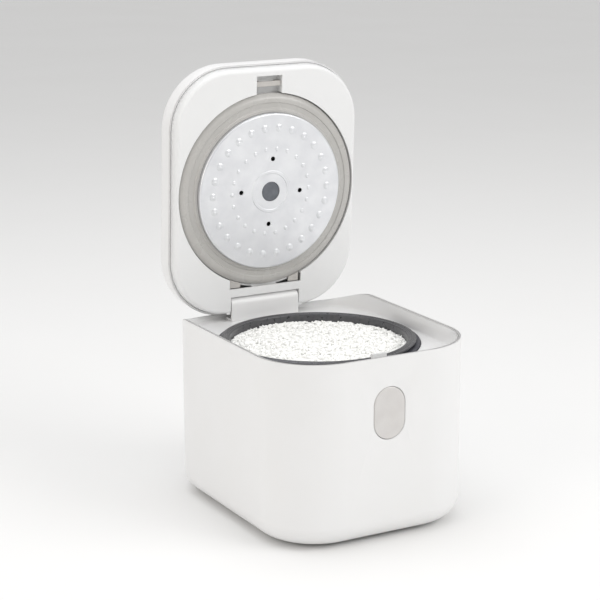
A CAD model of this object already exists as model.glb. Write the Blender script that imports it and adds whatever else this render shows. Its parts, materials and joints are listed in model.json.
# %% [markdown]
# # A rice cooker with its lid open
# The CAD model gives every part its size and place. Here Blender gives the parts their soft moulded
# edges and their finishes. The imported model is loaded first, and its box is kept, because nothing
# made here may reach outside it.

# %% Load the frame
import json
import math
import random

import bmesh
import bpy
from mathutils import Matrix, Vector

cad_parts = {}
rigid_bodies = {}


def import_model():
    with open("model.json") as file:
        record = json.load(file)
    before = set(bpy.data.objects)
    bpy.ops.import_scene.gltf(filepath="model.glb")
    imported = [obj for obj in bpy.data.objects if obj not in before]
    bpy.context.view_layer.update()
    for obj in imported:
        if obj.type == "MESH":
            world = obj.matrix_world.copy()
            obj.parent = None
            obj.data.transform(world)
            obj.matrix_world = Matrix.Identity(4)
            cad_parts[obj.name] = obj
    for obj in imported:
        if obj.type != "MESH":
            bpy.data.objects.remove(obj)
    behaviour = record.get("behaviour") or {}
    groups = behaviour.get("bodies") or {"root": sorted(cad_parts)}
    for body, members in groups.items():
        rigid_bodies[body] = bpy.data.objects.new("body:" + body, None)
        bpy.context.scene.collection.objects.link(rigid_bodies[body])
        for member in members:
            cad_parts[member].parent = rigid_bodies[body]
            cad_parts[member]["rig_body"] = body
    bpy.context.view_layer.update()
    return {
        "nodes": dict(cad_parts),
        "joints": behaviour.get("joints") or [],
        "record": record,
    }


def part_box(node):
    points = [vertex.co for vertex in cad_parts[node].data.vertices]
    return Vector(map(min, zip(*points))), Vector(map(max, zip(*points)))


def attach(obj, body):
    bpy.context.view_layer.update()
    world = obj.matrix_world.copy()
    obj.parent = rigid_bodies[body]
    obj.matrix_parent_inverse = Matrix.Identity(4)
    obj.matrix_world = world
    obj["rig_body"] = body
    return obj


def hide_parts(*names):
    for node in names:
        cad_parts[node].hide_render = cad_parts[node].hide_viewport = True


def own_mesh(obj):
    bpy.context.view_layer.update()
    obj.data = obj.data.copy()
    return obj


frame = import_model()
MM = 0.001
SAME = 0.01 * MM

# %% [markdown]
# The main sizes are read from the parts themselves. The lid was modelled shut and turned open about
# its hinge, so the hinge and its angle come from the record, and a helper turns shut pieces open.

# %% Sizes
joints = {j["name"]: j for j in frame["joints"]}
shell_low, shell_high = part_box("body_shell")
BODY_W = shell_high.x - shell_low.x
BODY_D = shell_high.y - shell_low.y
SHELL_LOW, RIM = shell_low.z, shell_high.z
HINGE = Vector(joints["lid_swing"]["pos_m"])
LID_OPEN = math.radians(-joints["lid_swing"]["range_deg"][0])
POT_Y = (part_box("inner_pot")[0].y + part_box("inner_pot")[1].y) / 2
POT_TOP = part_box("inner_pot")[1].z
FLANGE_R = (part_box("inner_pot")[1].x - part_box("inner_pot")[0].x) / 2
COVER = RIM - 10 * MM
LID_LOW = RIM + 1 * MM
LID_TOP = RIM + 25 * MM
print("body", round(BODY_W, 4), "by", round(BODY_D, 4), "rim at", round(RIM, 4))
print("pot flange", round(FLANGE_R, 4))


def open_lid(bm):
    """Turns what was made with the lid shut to the angle at which the lid stands."""
    bmesh.ops.rotate(bm, cent=HINGE, matrix=Matrix.Rotation(-LID_OPEN, 3, "X"), verts=bm.verts)


# %% [markdown]
# The camera stands to the front left and a little above, with a long lens, which keeps the upright
# edges nearly parallel. It comes first, so that every later step can be looked at from the right place.

# %% Camera
ahead = Vector((0.47907, 0.84328, -0.24369))
right = Vector((0.86949, -0.49396, 0.0))
above = Vector((0.12037, 0.21189, 0.96987))
camera = bpy.data.objects.new("camera", bpy.data.cameras.new("camera"))
bpy.context.scene.collection.objects.link(camera)
camera.matrix_world = Matrix((
    (right.x, above.x, -ahead.x, -0.9082),
    (right.y, above.y, -ahead.y, -1.5791),
    (right.z, above.z, -ahead.z, 0.6698),
    (0, 0, 0, 1)))
camera.data.lens = 114.67
camera.data.shift_x = -0.0151
camera.data.shift_y = -0.0074
bpy.context.scene.camera = camera
print("camera at", [round(v, 3) for v in camera.location])

# %% [markdown]
# White plastic on a pale table needs soft light from all round and one larger, slightly stronger
# source, or its rounded corners disappear. A pale sky gives the first and three area lights the second.

# %% Light
world = bpy.data.worlds.new("studio")
world.use_nodes = True
sky_nodes, sky_links = world.node_tree.nodes, world.node_tree.links
height = sky_nodes.new("ShaderNodeSeparateXYZ")
sky_links.new(sky_nodes.new("ShaderNodeTexCoord").outputs["Generated"], height.inputs["Vector"])
sky = sky_nodes.new("ShaderNodeValToRGB")
sky.color_ramp.elements[0].position = 0.05
sky.color_ramp.elements[0].color = (0.88, 0.875, 0.87, 1)
sky.color_ramp.elements[1].position = 0.75
sky.color_ramp.elements[1].color = (1.0, 1.0, 1.0, 1)
sky_links.new(height.outputs["Z"], sky.inputs["Fac"])
sky_links.new(sky.outputs["Color"], sky_nodes["Background"].inputs["Color"])
sky_nodes["Background"].inputs["Strength"].default_value = 0.7
bpy.context.scene.world = world
bpy.context.scene.view_settings.view_transform = "Standard"


def softbox(name, place, aim, size, power, tint):
    light = bpy.data.lights.new(name, "AREA")
    light.shape = "RECTANGLE"
    light.size, light.size_y = size
    light.energy = power
    light.color = tint
    lamp = bpy.data.objects.new(name, light)
    bpy.context.scene.collection.objects.link(lamp)
    lamp.location = place
    lamp.rotation_euler = (Vector(aim) - Vector(place)).to_track_quat("-Z", "Y").to_euler()
    print(name, power, "W")


softbox("window", (1.3, -1.6, 1.5), (0, 0, 0.15), (1.6, 1.2), 21, (1.0, 0.99, 0.98))
softbox("overhead", (-0.2, 0.3, 1.9), (0, 0, 0.1), (1.6, 1.6), 12, (0.97, 0.98, 1.0))
softbox("left_fill", (-1.8, -0.4, 0.9), (0, 0, 0.15), (1.2, 1.2), 7, (1.0, 0.94, 0.87))

# %% [markdown]
# Moulded plastic, satin metal and rubber differ in tone and gloss, but all show the same thing up
# close: a very fine grain and a faint unevenness. One node group gives both, and each finish places
# it with its own scale and depth.

# %% Fine grain group


def socket(group, name, side, kind, value=None):
    s = group.interface.new_socket(name=name, in_out=side, socket_type=kind)
    if value is not None:
        s.default_value = value
    return s


def noise(nodes, links, place, scale, detail):
    n = nodes.new("ShaderNodeTexNoise")
    n.inputs["Detail"].default_value = detail
    links.new(place, n.inputs["Vector"])
    links.new(scale, n.inputs["Scale"])
    return n.outputs["Fac"]


def spread(nodes, links, value, low, high):
    m = nodes.new("ShaderNodeMapRange")
    m.inputs["From Min"].default_value = 0.3
    m.inputs["From Max"].default_value = 0.7
    links.new(value, m.inputs["Value"])
    for s, name in ((low, "To Min"), (high, "To Max")):
        if isinstance(s, float):
            m.inputs[name].default_value = s
        else:
            links.new(s, m.inputs[name])
    return m.outputs["Result"]


def make_grain_group():
    group = bpy.data.node_groups.new("fine_grain", "ShaderNodeTree")
    socket(group, "Tone", "INPUT", "NodeSocketColor", (0.8, 0.8, 0.8, 1))
    socket(group, "Shade", "INPUT", "NodeSocketColor", (0.7, 0.7, 0.7, 1))
    socket(group, "Grain Scale", "INPUT", "NodeSocketFloat", 2500.0)
    socket(group, "Cloud Scale", "INPUT", "NodeSocketFloat", 30.0)
    socket(group, "Rough Low", "INPUT", "NodeSocketFloat", 0.3)
    socket(group, "Rough High", "INPUT", "NodeSocketFloat", 0.4)
    socket(group, "Color", "OUTPUT", "NodeSocketColor")
    socket(group, "Roughness", "OUTPUT", "NodeSocketFloat")
    socket(group, "Height", "OUTPUT", "NodeSocketFloat")
    nodes, links = group.nodes, group.links
    given = nodes.new("NodeGroupInput").outputs
    out = nodes.new("NodeGroupOutput").inputs
    place = nodes.new("ShaderNodeTexCoord").outputs["Object"]
    cloud = noise(nodes, links, place, given["Cloud Scale"], 3.0)
    grain = noise(nodes, links, place, given["Grain Scale"], 2.0)
    mix = nodes.new("ShaderNodeMix")
    mix.data_type = "RGBA"
    links.new(spread(nodes, links, cloud, 0.0, 1.0), mix.inputs["Factor"])
    links.new(given["Tone"], mix.inputs["A"])
    links.new(given["Shade"], mix.inputs["B"])
    links.new(mix.outputs["Result"], out["Color"])
    links.new(spread(nodes, links, cloud, given["Rough Low"], given["Rough High"]), out["Roughness"])
    links.new(grain, out["Height"])
    return group


GRAIN = make_grain_group()
print("group", GRAIN.name)

# %% [markdown]
# Every finish is then one call. A tone and a slightly darker shade are mixed in soft clouds, and the
# gloss rises and falls with them. Numbers that are the same all over sit on the shader itself.

# %% Finish helper
finishes = {}


def finish(name, tone, shade, rough, grain=2500.0, cloud=30.0, bump=0.02, metal=0.0, **plain):
    mat = bpy.data.materials.new(name)
    mat.use_nodes = True
    nodes, links = mat.node_tree.nodes, mat.node_tree.links
    shader = nodes["Principled BSDF"]
    shader.inputs["Metallic"].default_value = metal
    for key, value in plain.items():
        shader.inputs[key.replace("_", " ")].default_value = value
    group = nodes.new("ShaderNodeGroup")
    group.node_tree = GRAIN
    group.inputs["Tone"].default_value = (*tone, 1)
    group.inputs["Shade"].default_value = (*shade, 1)
    group.inputs["Grain Scale"].default_value = grain
    group.inputs["Cloud Scale"].default_value = cloud
    group.inputs["Rough Low"].default_value = rough[0]
    group.inputs["Rough High"].default_value = rough[1]
    links.new(group.outputs["Color"], shader.inputs["Base Color"])
    links.new(group.outputs["Roughness"], shader.inputs["Roughness"])
    relief = nodes.new("ShaderNodeBump")
    relief.inputs["Strength"].default_value = bump
    relief.inputs["Distance"].default_value = 0.0004
    links.new(group.outputs["Height"], relief.inputs["Height"])
    links.new(relief.outputs["Normal"], shader.inputs["Normal"])
    finishes[name] = mat
    return mat


# %% [markdown]
# The outside is injection-moulded white plastic with a soft gloss, and the lid's lining is the same
# plastic with a finer, flatter texture. The button is a satin cover, a little warmer and greyer.

# %% Plastics and rubbers
finish("shell_white", (0.815, 0.815, 0.815), (0.808, 0.807, 0.803), (0.28, 0.33), 1800, 22, 0.02,
       Coat_Weight=0.12)
finish("cover_white", (0.81, 0.815, 0.815), (0.80, 0.803, 0.803), (0.36, 0.44), 2600, 26, 0.05)
finish("button_satin", (0.66, 0.645, 0.63), (0.62, 0.60, 0.585), (0.3, 0.4), 3200, 60, 0.05, 0.25)
finish("base_grey", (0.30, 0.30, 0.31), (0.26, 0.26, 0.27), (0.5, 0.62), 1500, 40, 0.12)
finish("foot_rubber", (0.05, 0.05, 0.052), (0.07, 0.068, 0.065), (0.7, 0.85), 1800, 90, 0.15)
finish("guide_grey", (0.5, 0.5, 0.5), (0.46, 0.46, 0.46), (0.45, 0.55), 1500, 50, 0.08)
finish("hook_grey", (0.72, 0.72, 0.715), (0.68, 0.68, 0.675), (0.35, 0.45), 2000, 60, 0.05)
finish("striker_grey", (0.55, 0.53, 0.505), (0.5, 0.48, 0.455), (0.4, 0.5), 2200, 80, 0.05)
finish("seal_grey", (0.45, 0.45, 0.43), (0.4, 0.4, 0.385), (0.55, 0.7), 2500, 80, 0.1)
finish("gasket_grey", (0.5, 0.49, 0.47), (0.46, 0.45, 0.43), (0.24, 0.34), 2600, 45, 0.04)
finish("valve_grey", (0.16, 0.17, 0.19), (0.12, 0.13, 0.145), (0.28, 0.4), 2600, 120, 0.06, 0.6)
finish("inlet_black", (0.03, 0.03, 0.03), (0.042, 0.041, 0.04), (0.42, 0.55), 1600, 60, 0.15)
finish("part_black", (0.03, 0.03, 0.033), (0.045, 0.045, 0.048), (0.4, 0.55), 1500, 90, 0.1)
finish("wire_red", (0.42, 0.03, 0.025), (0.35, 0.022, 0.02), (0.35, 0.48), 1200, 90, 0.06)
finish("board_green", (0.03, 0.16, 0.06), (0.02, 0.12, 0.045), (0.3, 0.42), 900, 260, 0.05)
finish("fuse_white", (0.7, 0.68, 0.63), (0.62, 0.6, 0.56), (0.6, 0.75), 1400, 120, 0.12)
print(len(finishes), "plastics and rubbers")

# %% [markdown]
# The metals are pressed or cast. Sheet keeps a satin sheen, castings are rougher and mottled, and
# springs and screws are brighter. The pot's coating is dark and slightly speckled.

# %% Metals
finish("spring_steel", (0.6, 0.6, 0.62), (0.5, 0.5, 0.52), (0.25, 0.4), 3000, 200, 0.05, 1.0)
finish("screw_steel", (0.66, 0.66, 0.68), (0.56, 0.56, 0.58), (0.22, 0.36), 3000, 220, 0.05, 1.0)
finish("liner_metal", (0.34, 0.34, 0.35), (0.27, 0.27, 0.28), (0.35, 0.5), 1800, 60, 0.06, 0.9)
finish("ring_metal", (0.085, 0.085, 0.10), (0.06, 0.06, 0.075), (0.4, 0.55), 1800, 60, 0.06, 0.5)
finish("cast_aluminium", (0.62, 0.62, 0.63), (0.5, 0.5, 0.51), (0.42, 0.6), 700, 120, 0.25, 1.0)
finish("element_steel", (0.2, 0.19, 0.18), (0.13, 0.125, 0.12), (0.5, 0.65), 900, 160, 0.15, 0.8)
finish("pin_brass", (0.72, 0.53, 0.22), (0.6, 0.43, 0.17), (0.25, 0.38), 1500, 160, 0.05, 1.0)
finish("pot_coating", (0.085, 0.085, 0.092), (0.11, 0.11, 0.115), (0.26, 0.36), 1600, 260, 0.08, 0.6)
finish("plate_aluminium", (0.80, 0.81, 0.83), (0.74, 0.75, 0.775), (0.3, 0.42), 3200, 70, 0.03, 0.75)
finish("panel_glass", (0.012, 0.012, 0.014), (0.017, 0.017, 0.02), (0.04, 0.1), 900, 18, 0.004,
       Coat_Weight=1.0)
print(len(finishes), "finishes")

for part in frame["record"]["subparts"]:
    node = frame["nodes"][part["node"]]
    node.data.materials.clear()
    node.data.materials.append(finishes[part["material_slot"]])

# %% [markdown]
# Each new piece goes through the same last step. Its doubles are merged, its mesh becomes an object at
# the origin, flat and rounded faces are shaded together with sharp edges kept, and it is told which
# part it stands for and which body it moves with.

# %% Last step for every piece


def place_piece(bm, name, part, smooth=32, tidy=True):
    if tidy:
        bmesh.ops.remove_doubles(bm, verts=bm.verts, dist=1e-6)
        bmesh.ops.recalc_face_normals(bm, faces=bm.faces)
    mesh = bpy.data.meshes.new(name)
    bm.to_mesh(mesh)
    bm.free()
    mesh.shade_smooth()
    mesh.set_sharp_from_angle(angle=math.radians(smooth))
    piece = bpy.data.objects.new(name, mesh)
    bpy.context.scene.collection.objects.link(piece)
    even = piece.modifiers.new("even_shading", "WEIGHTED_NORMAL")
    even.keep_sharp = True
    slot = next(p["material_slot"] for p in frame["record"]["subparts"] if p["node"] == part)
    mesh.materials.append(finishes[slot])
    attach(piece, frame["nodes"][part]["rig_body"])
    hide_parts(part)
    print(name, len(mesh.polygons), "faces")
    return piece


# %% [markdown]
# The shells share their first moves. Every one starts as a flat face with rounded corners, is pulled
# into a tub, and has openings cut in its flat faces. An opening could be a boolean, but that leaves
# slivers where it meets a rounded edge. Here the flat face is taken out and filled again round the hole.

# %% Shared helpers


def verts_of(geom):
    return [g for g in geom if isinstance(g, bmesh.types.BMVert)]


def edges_of(geom):
    return [g for g in geom if isinstance(g, bmesh.types.BMEdge)]


def edges_between(bm, verts):
    return [e for e in bm.edges if e.verts[0] in verts and e.verts[1] in verts]


def edges_at(bm, z):
    return [e for e in bm.edges if all(abs(v.co.z - z) < SAME for v in e.verts)]


def open_face(bm, face):
    """Takes a face out and returns the edges that it leaves."""
    outline = list(face.edges)
    bmesh.ops.delete(bm, geom=[face], context="FACES_ONLY")
    return outline


def rounded_face(bm, width, depth, radius, z, y=0.0, steps=24):
    """One flat face with four rounded corners."""
    made = bmesh.ops.create_grid(bm, x_segments=1, y_segments=1, size=0.5)["verts"]
    bmesh.ops.scale(bm, vec=(width, depth, 1), verts=made)
    bmesh.ops.translate(bm, vec=(0, y, z), verts=made)
    bmesh.ops.bevel(bm, geom=made, affect="VERTICES", offset=radius, segments=steps, profile=0.5,
                    material=-1)
    return max(bm.faces, key=lambda f: len(f.verts))


def step_ring(bm, edges, centre_y, radius, steps):
    """Pulls a round edge down through steps of (drop, change of radius)."""
    for drop, grow in steps:
        pulled = bmesh.ops.extrude_edge_only(bm, edges=edges)["geom"]
        edges, moved = edges_of(pulled), verts_of(pulled)
        bmesh.ops.translate(bm, vec=(0, 0, -drop), verts=moved)
        if grow:
            factor = (radius + grow) / radius
            centre = Matrix.Translation((0, -centre_y, 0))
            bmesh.ops.scale(bm, vec=(factor, factor, 1), space=centre, verts=moved)


def face_up(bm, z):
    """Merges doubles, makes the faces agree, and turns them so that the face at height z looks up."""
    bmesh.ops.remove_doubles(bm, verts=bm.verts, dist=1e-6)
    bmesh.ops.recalc_face_normals(bm, faces=bm.faces)
    level = [f for f in bm.faces if abs(f.calc_center_median().z - z) < SAME]
    if max(level, key=lambda f: f.calc_area()).normal.z < 0:
        bmesh.ops.reverse_faces(bm, faces=bm.faces)


# %% [markdown]
# Parts whose shape comes from many cuts, such as the lid's lining with its well, its catch pocket and
# its slot, are right in CAD already. A copy is merged into one skin, its flat faces are joined up again,
# and its sharp edges get the small radius that a mould leaves.

# %% Moulded copies of cut parts


def soften(bm, width, steps=2, angle=28):
    sharp = [e for e in bm.edges if len(e.link_faces) == 2 and e.calc_face_angle(0) > math.radians(angle)]
    bmesh.ops.bevel(bm, geom=sharp, affect="EDGES", offset=width, segments=steps, profile=0.5,
                    material=-1, clamp_overlap=True)


def merged_copy(part):
    bm = bmesh.new()
    bm.from_mesh(frame["nodes"][part].data)
    bmesh.ops.remove_doubles(bm, verts=bm.verts, dist=2e-6)
    return bm


for part, edge, name in (("inner_cover", 0.35, "lid_lining"), ("hinge_tower", 0.6, "hinge_barrel"),
                         ("steam_cap", 0.5, "steam_lid"), ("latch_hook", 0.4, "catch_hook"),
                         ("lid_striker", 0.3, "catch_bar"), ("power_inlet", 0.4, "inlet_housing"),
                         ("base_cover", 0.4, "base_plate"), ("inner_lid_clips", 0.3, "lid_clips")):
    bm = merged_copy(part)
    bmesh.ops.dissolve_limit(bm, angle_limit=math.radians(0.4), verts=bm.verts, edges=bm.edges)
    soften(bm, edge * MM)
    place_piece(bm, name, part, tidy=False)

# %% [markdown]
# The shell, the tray and the lid case are tubs: a rounded face pulled up, without its top, and with a
# round edge below. Their small radii and walls come last, as modifiers, so that they follow every change
# made before. The radii are made first, then the wall, and the weighted normals stay at the end.

# %% Tubs and walls


def tub(bm, width, depth, radius, low, high, foot, steps, y=0.0):
    """An open tub, which returns its flat bottom face."""
    base = rounded_face(bm, width, depth, radius, low, y)
    lifted = bmesh.ops.extrude_face_region(bm, geom=[base])["geom"]
    bmesh.ops.translate(bm, vec=(0, 0, high - low), verts=verts_of(lifted))
    caps = [f for f in bm.faces if all(abs(v.co.z - high) < SAME for v in f.verts)]
    bmesh.ops.delete(bm, geom=caps, context="FACES_ONLY")
    bmesh.ops.bevel(bm, geom=edges_at(bm, low), affect="EDGES", offset=foot, segments=steps, profile=0.5,
                    material=-1)
    return max(bm.faces, key=lambda f: len(f.verts))


def thicken(piece, depth, edge, even=True):
    small = piece.modifiers.new("small_radii", "BEVEL")
    small.width = edge
    small.segments = 3
    small.limit_method = "ANGLE"
    small.angle_limit = math.radians(35)
    small.use_clamp_overlap = True
    wall = piece.modifiers.new("wall", "SOLIDIFY")
    wall.thickness = depth
    wall.offset = -1.0
    wall.use_even_offset = even
    piece.modifiers.move(piece.modifiers.find("even_shading"), len(piece.modifiers) - 1)


# %% [markdown]
# The rim of the body falls away towards the hinge, so that the open lid has room. The fall is a smooth
# S, and only the top vertices of a tub move, because its sides are straight.

# %% Fall of the rim
REAR_FALL = 14.5 * MM
FALL_START = BODY_D / 2 - 57 * MM
FALL_LENGTH = 64 * MM


def lower_rim(bm, z):
    for v in bm.verts:
        if abs(v.co.z - z) < SAME:
            t = min(max((v.co.y - FALL_START) / FALL_LENGTH, 0), 1)
            v.co.z -= REAR_FALL * (3 * t * t - 2 * t ** 3)


# %% [markdown]
# The button is pill-shaped, and so is its hole. A circle with its upper and lower halves moved apart
# gives the outline. It is turned by half a step first, so that no vertex lies on the line between them.

# %% Pill outline


def pill_edges(bm, width, height, y, z, steps=48):
    """An upright loop with two straight sides and two round ends."""
    ring = bmesh.ops.create_circle(bm, cap_ends=False, segments=steps, radius=width / 2)["verts"]
    bmesh.ops.rotate(bm, cent=(0, 0, 0), matrix=Matrix.Rotation(math.pi / steps, 3, "Z"), verts=ring)
    bmesh.ops.rotate(bm, cent=(0, 0, 0), matrix=Matrix.Rotation(math.pi / 2, 3, "X"), verts=ring)
    for up in (1, -1):
        half = [v for v in ring if v.co.z * up > 0]
        bmesh.ops.translate(bm, vec=(0, 0, up * (height - width) / 2), verts=half)
    bmesh.ops.translate(bm, vec=(0, y, z), verts=ring)
    return edges_between(bm, ring)


# %% [markdown]
# The outer shell is one tall moulding with rounded corners and a round foot edge. It starts as a tub
# whose rim is lowered. Its bottom keeps only a narrow ledge round the base plate, and the button's hole
# goes in the front.

# %% Outer shell
CORNER = 62 * MM
FOOT_EDGE = 20 * MM
SHELL_WALL = 2.45 * MM
BASE_LEDGE = 6 * MM
BUTTON_W, BUTTON_H, BUTTON_Z = 34 * MM, 51 * MM, RIM - 55 * MM
BUTTON_GAP = 0.45 * MM
bm = bmesh.new()
flat = tub(bm, BODY_W, BODY_D, CORNER, SHELL_LOW, RIM, FOOT_EDGE, 12)
lower_rim(bm, RIM)
bmesh.ops.inset_region(bm, faces=[flat], thickness=BASE_LEDGE, use_even_offset=True)
bmesh.ops.delete(bm, geom=[flat], context="FACES")
front = min((f for f in bm.faces if abs(f.normal.y) > 0.99), key=lambda f: f.calc_center_median().y)
outline = open_face(bm, front)
pill = pill_edges(bm, BUTTON_W + 2 * BUTTON_GAP, BUTTON_H + 2 * BUTTON_GAP, -BODY_D / 2, BUTTON_Z)
bmesh.ops.triangle_fill(bm, use_beauty=True, edges=outline + pill)
print("shell so far", len(bm.faces), "faces")

# %% [markdown]
# The power inlet sits low at the back, in a rectangular port. The port is a little smaller than the
# inlet's frame, which covers its edge, and it stays above the round foot edge, where the wall is flat.

# %% Port for the inlet
inlet_low, inlet_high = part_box("power_inlet")
port_low = SHELL_LOW + FOOT_EDGE + 0.3 * MM
port_high = inlet_high.z - 2.4 * MM
port_w = inlet_high.x - inlet_low.x - 5.4 * MM
back = max((f for f in bm.faces if abs(f.normal.y) > 0.99), key=lambda f: f.calc_center_median().y)
outline = open_face(bm, back)
port = bmesh.ops.create_grid(bm, x_segments=1, y_segments=1, size=0.5,
                             matrix=Matrix.Rotation(math.pi / 2, 4, "X"))["verts"]
bmesh.ops.scale(bm, vec=(port_w, 1, port_high - port_low), verts=port)
port_place = ((inlet_low.x + inlet_high.x) / 2, BODY_D / 2, (port_low + port_high) / 2)
bmesh.ops.translate(bm, vec=port_place, verts=port)
bmesh.ops.delete(bm, geom=[f for f in bm.faces if f.verts[0] in port], context="FACES_ONLY")
bmesh.ops.triangle_fill(bm, use_beauty=True, edges=outline + edges_between(bm, port))
thicken(place_piece(bm, "outer_shell", "body_shell"), SHELL_WALL, 0.55 * MM)

# %% [markdown]
# Inside the rim sits a white tray with the round opening for the pot. It is a second, shallow tub. Its
# floor is filled again round the opening and the catch's slot, and the opening's edge is pulled down to
# the ledge that carries the heat shield. The wall grows away from the side that shows.

# %% Deck tray
DECK = RIM - 18 * MM
SKIRT = 4.1 * MM
TRAY_RIM = RIM - 0.6 * MM
HOLE_R = FLANGE_R + 4.8 * MM
SLOT_Y, SLOT_DEPTH = -113.65 * MM, 11.7 * MM
LEDGE = ((3.1 * MM, 0), (0, -4.4 * MM), (1.8 * MM, 0))
bm = bmesh.new()
flat = tub(bm, BODY_W - 2 * SKIRT, BODY_D - 2 * SKIRT, CORNER - SKIRT, DECK, TRAY_RIM, 2.2 * MM, 5)
lower_rim(bm, TRAY_RIM)
outline = open_face(bm, flat)
ring = bmesh.ops.create_circle(bm, cap_ends=False, segments=128, radius=HOLE_R)["verts"]
bmesh.ops.translate(bm, vec=(0, POT_Y, DECK), verts=ring)
hole = edges_between(bm, ring)
hook_low, hook_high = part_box("latch_hook")
slot = bmesh.ops.create_grid(bm, x_segments=1, y_segments=1, size=0.5)["verts"]
bmesh.ops.scale(bm, vec=(hook_high.x - hook_low.x + 2 * MM, SLOT_DEPTH, 1), verts=slot)
bmesh.ops.translate(bm, vec=(0, SLOT_Y, DECK), verts=slot)
slot_edges = edges_between(bm, slot)
bmesh.ops.delete(bm, geom=[f for f in bm.faces if f.verts[0] in slot], context="FACES_ONLY")
bmesh.ops.triangle_fill(bm, use_beauty=True, edges=outline + hole + slot_edges)
step_ring(bm, hole, POT_Y, HOLE_R, LEDGE)
face_up(bm, DECK)
thicken(place_piece(bm, "deck_tray", "top_deck", tidy=False), 1.5 * MM, 0.25 * MM, even=False)

# %% [markdown]
# The lid's outer case is the same rounded tub again, turned over, with a round upper edge, a shallow bed
# for the control glass and a well for the steam cap. It is made shut, because a flat top is easy to
# fill, and then turned open. The first step sets out the top face and fills it round both openings.

# %% Lid case, upper face
LID_Y = 1.75 * MM
LID_W, LID_D, LID_R = 212 * MM, 258.5 * MM, 63 * MM
VENT_Y, WELL_R = 52 * MM, 25 * MM
GLASS_Y, GLASS_W, GLASS_D, GLASS_T = -62 * MM, 130 * MM, 62 * MM, 1.7 * MM
GLASS_GAP = 0.4 * MM
bm = bmesh.new()
top = tub(bm, LID_W, LID_D, LID_R, -LID_TOP, -LID_LOW, 9 * MM, 9, LID_Y)
bmesh.ops.scale(bm, vec=(1, 1, -1), verts=bm.verts)
outline = open_face(bm, top)
ring = bmesh.ops.create_circle(bm, cap_ends=False, segments=72, radius=WELL_R)["verts"]
bmesh.ops.translate(bm, vec=(0, VENT_Y, LID_TOP), verts=ring)
well = edges_between(bm, ring)
bed_bm = bmesh.new()
rounded_face(bed_bm, GLASS_W + 2 * GLASS_GAP, GLASS_D + 2 * GLASS_GAP, 8.4 * MM, LID_TOP, GLASS_Y, 8)
bed_mesh = bpy.data.meshes.new("bed")
bed_bm.to_mesh(bed_mesh)
bed_bm.free()
known = set(bm.edges)
bm.from_mesh(bed_mesh)
bpy.data.meshes.remove(bed_mesh)
bed = [e for e in bm.edges if e not in known]
bed_faces = [f for f in bm.faces if len(f.verts) > 12 and f.edges[0] in bed]
bmesh.ops.delete(bm, geom=bed_faces, context="FACES_ONLY")
bmesh.ops.triangle_fill(bm, use_beauty=True, edges=outline + well + bed)
print("lid case so far", len(bm.faces), "faces")

# %% [markdown]
# The bed's edge is then pulled down by the thickness of the glass and closed, and the well's edge is
# pulled down and in, which leaves a narrow ledge at the bottom of the well.

# %% Lid case, bed and well
pulled = bmesh.ops.extrude_edge_only(bm, edges=bed)["geom"]
bmesh.ops.translate(bm, vec=(0, 0, -GLASS_T), verts=verts_of(pulled))
bmesh.ops.edgeloop_fill(bm, edges=edges_of(pulled))
step_ring(bm, well, VENT_Y, WELL_R, ((7.8 * MM, 0), (0, -3.4 * MM)))
face_up(bm, LID_TOP)
open_lid(bm)
thicken(place_piece(bm, "lid_case", "lid_shell", tidy=False), 2.6 * MM, 0.25 * MM)

# %% [markdown]
# The pot, the lid's gasket, its steam valve and the seal ring are round, so each is one profile turned
# about the pot's centre line. The profile starts as a few corners in order, and each corner that a tool
# would round is bevelled to its own radius before the turn.

# %% Turned pieces


def lathe(corners, steps=144, closed=True):
    """Turns a profile of (radius, height, corner radius) about the pot's centre line."""
    bm = bmesh.new()
    verts = [bm.verts.new((r, 0, z)) for r, z, _ in corners]
    wires = list(zip(verts, verts[1:]))
    if closed:
        wires.append((verts[-1], verts[0]))
    for pair in wires:
        bm.edges.new(pair)
    for vert, (_, _, soft) in zip(verts, corners):
        if soft:
            bmesh.ops.bevel(bm, geom=[vert], affect="VERTICES", offset=soft * 0.999,
                            segments=max(3, min(12, round(soft / MM) + 2)), profile=0.5, material=-1)
    bmesh.ops.spin(bm, geom=bm.verts[:] + bm.edges[:], cent=(0, 0, 0), axis=(0, 0, 1), angle=math.tau,
                   steps=steps, use_merge=True)
    bmesh.ops.remove_doubles(bm, verts=bm.verts, dist=1e-6)
    bmesh.ops.recalc_face_normals(bm, faces=bm.faces)
    bmesh.ops.translate(bm, vec=(0, POT_Y, 0), verts=bm.verts)
    return bm


# %% [markdown]
# The pot is drawn from sheet, so its inside and outside follow each other 2 mm apart, with a large
# radius at the bottom. Its flange carries two fine ridges and ends in a rolled edge.

# %% Pot
POT_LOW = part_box("inner_pot")[0].z
POT_OUT = FLANGE_R - 6.7 * MM
POT_R = POT_OUT - 2 * MM
POT_FLOOR = POT_LOW + 2 * MM
FLANGE_Z = POT_TOP - 0.5 * MM
ROLL_Z = POT_TOP - 2.7 * MM
UNDER_Z = POT_TOP - 2 * MM
ridges = []
for i in (1, 2):
    middle = POT_OUT + (2.1 * i - 1) * MM
    ridges += [(middle - 0.6 * MM, FLANGE_Z, 0), (middle, POT_TOP, 0.3 * MM),
               (middle + 0.6 * MM, FLANGE_Z, 0)]
inside = [(0, POT_FLOOR, 0), (POT_R, POT_FLOOR, 22 * MM), (POT_R, FLANGE_Z, 1.2 * MM)]
roll = [(FLANGE_R, FLANGE_Z, 0.9 * MM), (FLANGE_R, ROLL_Z, 0.9 * MM),
        (FLANGE_R - 2.2 * MM, ROLL_Z, 0.6 * MM), (FLANGE_R - 2.4 * MM, UNDER_Z, 0)]
outside = [(POT_OUT, UNDER_Z, 0.6 * MM), (POT_OUT, POT_LOW, 24 * MM), (0, POT_LOW, 0)]
place_piece(lathe(inside + ridges + roll + outside, 192, closed=False), "pot_with_flange", "inner_pot")

# %% [markdown]
# The gasket is a soft band round the inner lid, with a bead next to the dish, a groove, and an outer lip
# that slopes up. Its heights are given in millimetres from COVER.

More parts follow.
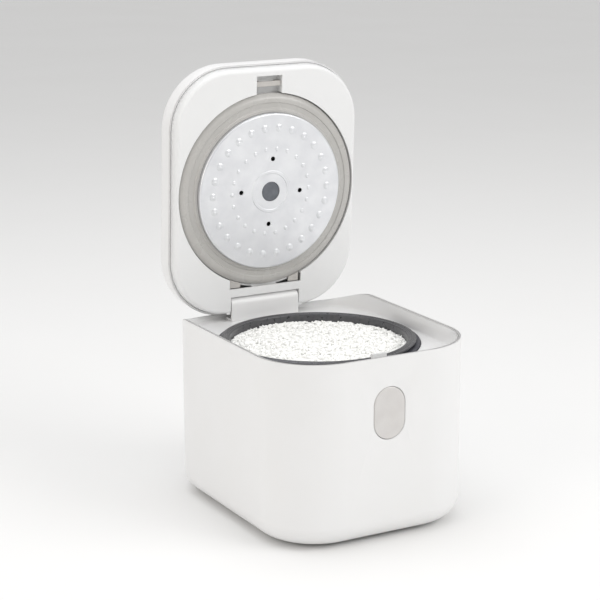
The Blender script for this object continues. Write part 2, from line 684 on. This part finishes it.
# %% Gasket
RING_R = FLANGE_R + 2.7 * MM
DISH_R = RING_R - 19 * MM
DISH = COVER - 7 * MM
band = DISH_R + 0.1 * MM
bead = [(band, -2.5, 0.5), (band + 3.2 * MM, -2.5, 0.5), (band + 4.2 * MM, -0.9, 0.5),
        (band + 9.5 * MM, -0.4, 0.4), (band + 10 * MM, -1.3, 0.3)]
lip = [(RING_R - 4.5 * MM, -1, 1.6), (RING_R - 1 * MM, 1.6, 0.9), (RING_R, 2.6, 0.5)]
top_side = [(RING_R, 5, 0.2), (RING_R - 3 * MM, 5, 0.2), (RING_R - 3 * MM, 3.4, 0.2), (band, 1.5, 0.3)]
bm = lathe([(r, COVER + z * MM, soft * MM) for r, z, soft in bead + lip + top_side])
open_lid(bm)
place_piece(bm, "lid_gasket", "inner_lid_gasket", smooth=50)

# %% [markdown]
# The valve cap is a small flat plug with a collar, and the seal ring is a low raised band round it.
# They could be one profile, but they are two parts of different material, so each gets its own.

# %% Valve cap and seal ring
CAP_R, COLLAR_R = 10.1 * MM, 12.4 * MM
COLLAR_LOW, COLLAR_HIGH = DISH + 1.1 * MM, DISH + 2.3 * MM
CAP_TOP = COVER + 6 * MM
bm = lathe([(0, DISH + 0.5 * MM, 0), (6 * MM, DISH + 0.4 * MM, 1.5 * MM),
            (CAP_R, DISH + 0.2 * MM, 0.9 * MM), (CAP_R, COLLAR_LOW, 0.1 * MM),
            (COLLAR_R, COLLAR_LOW, 0.3 * MM), (COLLAR_R, COLLAR_HIGH, 0.1 * MM),
            (CAP_R, COLLAR_HIGH, 0.1 * MM), (CAP_R, CAP_TOP, 0.3 * MM), (0, CAP_TOP, 0)],
           72, closed=False)
open_lid(bm)
place_piece(bm, "valve_cap", "steam_valve")

SEAL_LOW = DISH - 0.5 * MM
bm = lathe([(18.5 * MM, DISH, 0), (18.9 * MM, SEAL_LOW, 0.3 * MM), (21.6 * MM, SEAL_LOW, 0.3 * MM),
            (22 * MM, DISH, 0)], 96)
open_lid(bm)
place_piece(bm, "valve_ring", "valve_seal")

# %% [markdown]
# The button and the control glass are flat pads with a soft edge, so one helper makes both: an outline
# pulled to its depth, with the front edge rounded.

# %% Pads


def soft_pad(bm, outline, pull, edge, steps=5):
    """Pulls a flat face along a vector and rounds the edge of the pulled side."""
    moved = verts_of(bmesh.ops.extrude_face_region(bm, geom=[outline])["geom"])
    bmesh.ops.translate(bm, vec=pull, verts=moved)
    bmesh.ops.bevel(bm, geom=edges_between(bm, moved), affect="EDGES", offset=edge, segments=steps,
                    profile=0.5, material=-1)


BUTTON_T = 8 * MM
bm = bmesh.new()
button_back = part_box("release_button")[0].y + BUTTON_T
bmesh.ops.edgeloop_fill(bm, edges=pill_edges(bm, BUTTON_W, BUTTON_H, button_back, BUTTON_Z, 64))
soft_pad(bm, bm.faces[:][0], (0, -BUTTON_T, 0), 1.1 * MM)
place_piece(bm, "button_cap", "release_button")

bm = bmesh.new()
pane = rounded_face(bm, GLASS_W, GLASS_D, 8 * MM, LID_TOP - GLASS_T, GLASS_Y, 10)
soft_pad(bm, pane, (0, 0, GLASS_T), 0.5 * MM, 3)
open_lid(bm)
place_piece(bm, "control_window", "control_glass")

# %% [markdown]
# Three small springs are squeezed when the part moves: behind the button, behind the catch and under the
# sensor. Each is a merged copy of its coil that flattens towards its fixed end.

# %% Springs


def spring_copy(part):
    coil = place_piece(merged_copy(part), part + "_coil", part, smooth=75, tidy=False)
    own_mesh(coil)


spring_copy("button_spring")
spring_copy("latch_spring")
spring_copy("sensor_spring")

# %% [markdown]
# Cooked rice fills the pot nearly to its flange. It isn't part of the cooker, so it is kept with the
# setting, but it moves with the pot. Under the grains lies a low mound, turned like the pot.

# %% Rice mound
RICE_R = POT_R - 0.8 * MM
RICE_EDGE, RICE_TOP = POT_TOP - 10 * MM, POT_TOP - 7 * MM
RICE_LOW = RICE_EDGE - 20 * MM
MOUND_STEPS = 6


def rice_height(r):
    return RICE_EDGE + (RICE_TOP - RICE_EDGE) * (1 - (r / RICE_R) ** 2)


slope = [RICE_R * k / MOUND_STEPS for k in range(1, MOUND_STEPS + 1)]
crown = [(r, rice_height(r) - 0.5 * MM, 0) for r in slope]
mound = lathe([(0, rice_height(0), 0), *crown, (RICE_R, RICE_LOW, 0), (0, RICE_LOW, 0)], 96, closed=False)
print("mound", len(mound.faces), "faces")

# %% [markdown]
# The grains are small balls drawn out and laid nearly flat, each at its own angle. Every fifth one goes
# near the edge, which gives the rice its ragged line. An operator takes longer the more a mesh already
# holds, so the grains are made forty at a time and the batches are added to the mound.

# %% Rice grains
BATCHES, BATCH = 65, 40
EDGE_BAND = 2.5 * MM
dice = random.Random(7)
for batch in range(BATCHES):
    few = bmesh.new()
    for i in range(BATCH):
        r = RICE_R * math.sqrt(dice.random())
        if i % 5 == 0:
            r = RICE_R - EDGE_BAND * dice.random()
        turn = dice.uniform(0, math.tau)
        lift = rice_height(r) + dice.uniform(-0.4, 1.6) * MM
        place = Matrix.Translation((r * math.cos(turn), POT_Y + r * math.sin(turn), lift))
        lie = Matrix.Rotation(dice.uniform(0, math.tau), 4, "Z")
        lie = lie @ Matrix.Rotation(dice.gauss(0, 0.35), 4, "Y")
        half_sizes = [dice.uniform(*span) * MM for span in ((2.6, 3.6), (1.1, 1.4), (1, 1.3))]
        size = Matrix.Diagonal((*half_sizes, 1))
        bmesh.ops.create_uvsphere(few, u_segments=6, v_segments=5, radius=1, matrix=place @ lie @ size)
    grains = bpy.data.meshes.new("grains")
    few.to_mesh(grains)
    few.free()
    mound.from_mesh(grains)
    bpy.data.meshes.remove(grains)

# %% [markdown]
# Boiled rice lets a little light through, which softens its shadows. A trace of glow stands in for that,
# and is much quicker than light scattered under the surface.

# %% Rice finish
rice_mesh = bpy.data.meshes.new("rice")
mound.to_mesh(rice_mesh)
mound.free()
rice_mesh.shade_smooth()
rice = bpy.data.objects.new("rice", rice_mesh)
bpy.context.scene.collection.objects.link(rice)
finish("rice_white", (0.94, 0.94, 0.925), (0.92, 0.92, 0.9), (0.45, 0.6), 1500, 180, 0.05,
       Emission_Strength=0.04)
rice_mesh.materials.append(finishes["rice_white"])
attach(rice, "pot")
print("rice", len(rice_mesh.polygons), "faces")

# %% [markdown]
# The floor is a plain pale sheet, large enough that its edge is far away in every view. It isn't part
# of the cooker, so it is only staged.

# %% Floor
FLOOR_HALF = 60
bm = bmesh.new()
bmesh.ops.create_grid(bm, x_segments=1, y_segments=1, size=FLOOR_HALF)
mesh = bpy.data.meshes.new("floor")
bm.to_mesh(mesh)
bm.free()
floor = bpy.data.objects.new("floor", mesh)
bpy.context.scene.collection.objects.link(floor)
finish("floor_pale", (0.88, 0.878, 0.872), (0.87, 0.867, 0.86), (0.5, 0.6), 400, 3, 0.02)
mesh.materials.append(finishes["floor_pale"])
